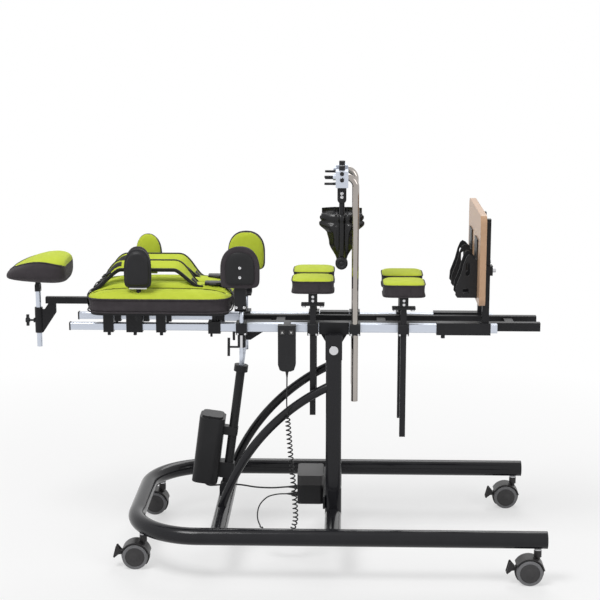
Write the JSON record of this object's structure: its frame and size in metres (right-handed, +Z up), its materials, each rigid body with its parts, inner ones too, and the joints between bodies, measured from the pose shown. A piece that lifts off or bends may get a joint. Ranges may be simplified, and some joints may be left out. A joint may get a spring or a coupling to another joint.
{
  "type": "supine standing frame",
  "caption": "Motorised standing frame shown lying: padded back, head, hip, leg and knee supports with footboard sandals on rails that tilt upright over a castored U-shaped base.",
  "frame": {"origin": "on the floor, under the middle of the overall box, in the lying pose", "axes": "+X to the foot end, +Y to the far side, +Z up"},
  "size_m": [1.58, 0.714, 1.164],
  "materials": {
    "gloss_black": "gloss black powder coat",
    "satin_black": "satin black powder coat",
    "silver": "silver anodised",
    "chrome": "polished chrome",
    "black_plastic": "moulded black",
    "gloss_plastic": "gloss black moulding",
    "grey_plastic": "moulded taupe grey",
    "tyre_grey": "light grey tread",
    "cord_black": "black cord",
    "lime_fabric": "lime cover",
    "charcoal_fabric": "charcoal cover",
    "beech": "light beech"
  },
  "bodies": {
    "base": {"base_tube": "gloss_black", "base_fittings": "satin_black", "cross_tubes": "gloss_black", "masts": "gloss_black", "arch_braces": "gloss_black", "actuator_foot": "satin_black", "control_box": "black_plastic", "control_box_lid": "grey_plastic", "handset_cord": "cord_black", "motor_cable": "cord_black"},
    "actuator": {"actuator_body": "black_plastic"},
    "actuator_rod": {"actuator_rod": "silver"},
    "tilt_frame": {"main_frame": "satin_black", "rail_caps": "black_plastic", "pivot_brackets": "satin_black", "back_tubes": "silver", "leg_tubes": "silver", "actuator_lugs": "satin_black", "rail_clamps": "satin_black", "handset": "black_plastic"},
    "hip_lever_near": {"hip_lever_near": "black_plastic"},
    "hip_lever_far": {"hip_lever_far": "black_plastic"},
    "button_up": {"handset_button_up": "grey_plastic"},
    "button_down": {"handset_button_down": "grey_plastic"},
    "backrest": {"back_board": "satin_black", "back_cushion": "lime_fabric", "shoulder_straps": "lime_fabric"},
    "head_bar": {"head_bar": "satin_black"},
    "head_stem": {"head_stem": "silver"},
    "head_pad": {"head_pad": "lime_fabric"},
    "head_knob": {"head_knob": "black_plastic"},
    "chest_near": {"chest_support_near": "black_plastic"},
    "chest_far": {"chest_support_far": "black_plastic"},
    "hip_near": {"hip_support_near": "charcoal_fabric"},
    "hip_far": {"hip_support_far": "charcoal_fabric"},
    "thighs": {"thigh_posts": "satin_black", "thigh_pads": "lime_fabric"},
    "calves": {"calf_posts": "satin_black", "calf_pads": "lime_fabric"},
    "knee_arm_near": {"knee_arm_near": "chrome"},
    "knee_arm_far": {"knee_arm_far": "chrome"},
    "knee_cup_near": {"knee_cup_near": "gloss_plastic"},
    "knee_cup_far": {"knee_cup_far": "gloss_plastic"},
    "foot_carriage": {"foot_carriage": "satin_black"},
    "footboard": {"footboard": "beech", "foot_clamps": "satin_black"},
    "sandal_near": {"sandal_near": "black_plastic"},
    "sandal_far": {"sandal_far": "black_plastic"},
    "castor_1": {"castor_hood_1": "grey_plastic"},
    "wheels_1": {"castor_wheels_1": "tyre_grey"},
    "pedal_1": {"brake_pedal_1": "grey_plastic"},
    "castor_2": {"castor_hood_2": "grey_plastic"},
    "wheels_2": {"castor_wheels_2": "tyre_grey"},
    "pedal_2": {"brake_pedal_2": "grey_plastic"},
    "castor_3": {"castor_hood_3": "grey_plastic"},
    "wheels_3": {"castor_wheels_3": "tyre_grey"},
    "pedal_3": {"brake_pedal_3": "grey_plastic"},
    "castor_4": {"castor_hood_4": "grey_plastic"},
    "wheels_4": {"castor_wheels_4": "tyre_grey"},
    "pedal_4": {"brake_pedal_4": "grey_plastic"}
  },
  "joints": [
    {"name": "tilt", "type": "hinge", "parent": "base", "child": "tilt_frame", "pos_m": [0.18, 0, 0.635], "axis": [0, 1, 0], "range_deg": [0, 88], "deforming": ["handset_cord"]},
    {"name": "actuator_swing", "type": "hinge", "parent": "base", "child": "actuator", "pos_m": [-0.15, 0, 0.172], "axis": [0, 1, 0], "range_deg": [0, 17.4], "deforming": ["motor_cable"]},
    {"name": "actuator_stroke", "type": "slide", "parent": "actuator", "child": "actuator_rod", "axis": [0.1319, 0, 0.9913], "range_m": [0, 0.3195]},
    {"name": "castor_swivel_1", "type": "hinge", "parent": "base", "child": "castor_1", "pos_m": [0.764, -0.33, 0.09], "axis": [0, 0, 1], "continuous": true},
    {"name": "wheel_roll_1", "type": "hinge", "parent": "castor_1", "child": "wheels_1", "pos_m": [0.741, -0.33, 0.0375], "axis": [0, 1, 0], "continuous": true},
    {"name": "brake_1", "type": "hinge", "parent": "castor_1", "child": "pedal_1", "pos_m": [0.696, -0.33, 0.0455], "axis": [0, -1, 0], "range_deg": [0, 12]},
    {"name": "castor_swivel_2", "type": "hinge", "parent": "base", "child": "castor_2", "pos_m": [0.764, 0.33, 0.09], "axis": [0, 0, 1], "continuous": true},
    {"name": "wheel_roll_2", "type": "hinge", "parent": "castor_2", "child": "wheels_2", "pos_m": [0.741, 0.33, 0.0375], "axis": [0, 1, 0], "continuous": true},
    {"name": "brake_2", "type": "hinge", "parent": "castor_2", "child": "pedal_2", "pos_m": [0.696, 0.33, 0.0455], "axis": [0, -1, 0], "range_deg": [0, 12]},
    {"name": "castor_swivel_3", "type": "hinge", "parent": "base", "child": "castor_3", "pos_m": [-0.37461, -0.23598, 0.09], "axis": [0, 0, 1], "continuous": true},
    {"name": "wheel_roll_3", "type": "hinge", "parent": "castor_3", "child": "wheels_3", "pos_m": [-0.39761, -0.23598, 0.0375], "axis": [0, 1, 0], "continuous": true},
    {"name": "brake_3", "type": "hinge", "parent": "castor_3", "child": "pedal_3", "pos_m": [-0.44261, -0.23598, 0.0455], "axis": [0, -1, 0], "range_deg": [0, 12]},
    {"name": "castor_swivel_4", "type": "hinge", "parent": "base", "child": "castor_4", "pos_m": [-0.37461, 0.23598, 0.09], "axis": [0, 0, 1], "continuous": true},
    {"name": "wheel_roll_4", "type": "hinge", "parent": "castor_4", "child": "wheels_4", "pos_m": [-0.39761, 0.23598, 0.0375], "axis": [0, 1, 0], "continuous": true},
    {"name": "brake_4", "type": "hinge", "parent": "castor_4", "child": "pedal_4", "pos_m": [-0.44261, 0.23598, 0.0455], "axis": [0, -1, 0], "range_deg": [0, 12]},
    {"name": "hip_lever_turn_near", "type": "hinge", "parent": "tilt_frame", "child": "hip_lever_near", "pos_m": [-0.091, -0.101, 0.633], "axis": [1, 0, 0], "range_deg": [-60, 60]},
    {"name": "hip_lever_turn_far", "type": "hinge", "parent": "tilt_frame", "child": "hip_lever_far", "pos_m": [-0.091, 0.101, 0.633], "axis": [1, 0, 0], "range_deg": [-60, 60]},
    {"name": "button_up_press", "type": "slide", "parent": "tilt_frame", "child": "button_up", "axis": [0, 1, 0], "range_m": [0, 0.0015], "stiffness_N_per_m": 300},
    {"name": "button_down_press", "type": "slide", "parent": "tilt_frame", "child": "button_down", "axis": [0, 1, 0], "range_m": [0, 0.0015], "stiffness_N_per_m": 300},
    {"name": "back_slide", "type": "slide", "parent": "tilt_frame", "child": "backrest", "axis": [1, 0, 0], "range_m": [-0.06, 0]},
    {"name": "head_bar_slide", "type": "slide", "parent": "backrest", "child": "head_bar", "axis": [1, 0, 0], "range_m": [-0.06, 0.03]},
    {"name": "head_height", "type": "slide", "parent": "head_bar", "child": "head_stem", "axis": [0, 0, 1], "range_m": [-0.02, 0.05]},
    {"name": "head_tilt", "type": "hinge", "parent": "head_stem", "child": "head_pad", "pos_m": [-0.708, 0, 0.7955], "axis": [0, 1, 0], "range_deg": [-15, 15]},
    {"name": "head_knob_turn", "type": "hinge", "parent": "head_bar", "child": "head_knob", "pos_m": [-0.708, 0, 0.688], "axis": [1, 0, 0], "continuous": true},
    {"name": "chest_swivel_near", "type": "hinge", "parent": "backrest", "child": "chest_near", "pos_m": [-0.389, -0.12, 0.75], "axis": [0, 0, 1], "range_deg": [-25, 25]},
    {"name": "chest_swivel_far", "type": "hinge", "parent": "backrest", "child": "chest_far", "pos_m": [-0.389, 0.12, 0.75], "axis": [0, 0, 1], "range_deg": [-25, 25]},
    {"name": "hip_height_near", "type": "slide", "parent": "tilt_frame", "child": "hip_near", "axis": [0, 0, 1], "range_m": [0, 0.06]},
    {"name": "hip_height_far", "type": "slide", "parent": "tilt_frame", "child": "hip_far", "axis": [0, 0, 1], "range_m": [0, 0.06]},
    {"name": "thigh_height", "type": "slide", "parent": "tilt_frame", "child": "thighs", "axis": [0, 0, 1], "range_m": [-0.04, 0.01]},
    {"name": "calf_height", "type": "slide", "parent": "tilt_frame", "child": "calves", "axis": [0, 0, 1], "range_m": [-0.03, 0.06]},
    {"name": "knee_height_near", "type": "slide", "parent": "tilt_frame", "child": "knee_arm_near", "axis": [0, 0, 1], "range_m": [-0.015, 0.08]},
    {"name": "knee_height_far", "type": "slide", "parent": "tilt_frame", "child": "knee_arm_far", "axis": [0, 0, 1], "range_m": [-0.015, 0.08]},
    {"name": "knee_swing_near", "type": "hinge", "parent": "knee_arm_near", "child": "knee_cup_near", "pos_m": [0.201, -0.066, 1.08], "axis": [0, 0, 1], "range_deg": [0, 60]},
    {"name": "knee_swing_far", "type": "hinge", "parent": "knee_arm_far", "child": "knee_cup_far", "pos_m": [0.201, 0.066, 1.08], "axis": [0, 0, -1], "range_deg": [0, 60]},
    {"name": "foot_slide", "type": "slide", "parent": "tilt_frame", "child": "foot_carriage", "axis": [1, 0, 0], "range_m": [-0.07, 0.015]},
    {"name": "footboard_height", "type": "slide", "parent": "foot_carriage", "child": "footboard", "axis": [0, 0, 1], "range_m": [-0.05, 0.03]},
    {"name": "sandal_turn_near", "type": "hinge", "parent": "footboard", "child": "sandal_near", "pos_m": [0.592, -0.092, 0.85], "axis": [1, 0, 0], "range_deg": [-12, 12]},
    {"name": "sandal_turn_far", "type": "hinge", "parent": "footboard", "child": "sandal_far", "pos_m": [0.592, 0.092, 0.85], "axis": [1, 0, 0], "range_deg": [-12, 12]}
  ],
  "couplings": [
    {"joint": "actuator_swing", "follows": "tilt", "ratio": 0.1969},
    {"joint": "actuator_stroke", "follows": "tilt", "m_per_rad": 0.20771}
  ]
}
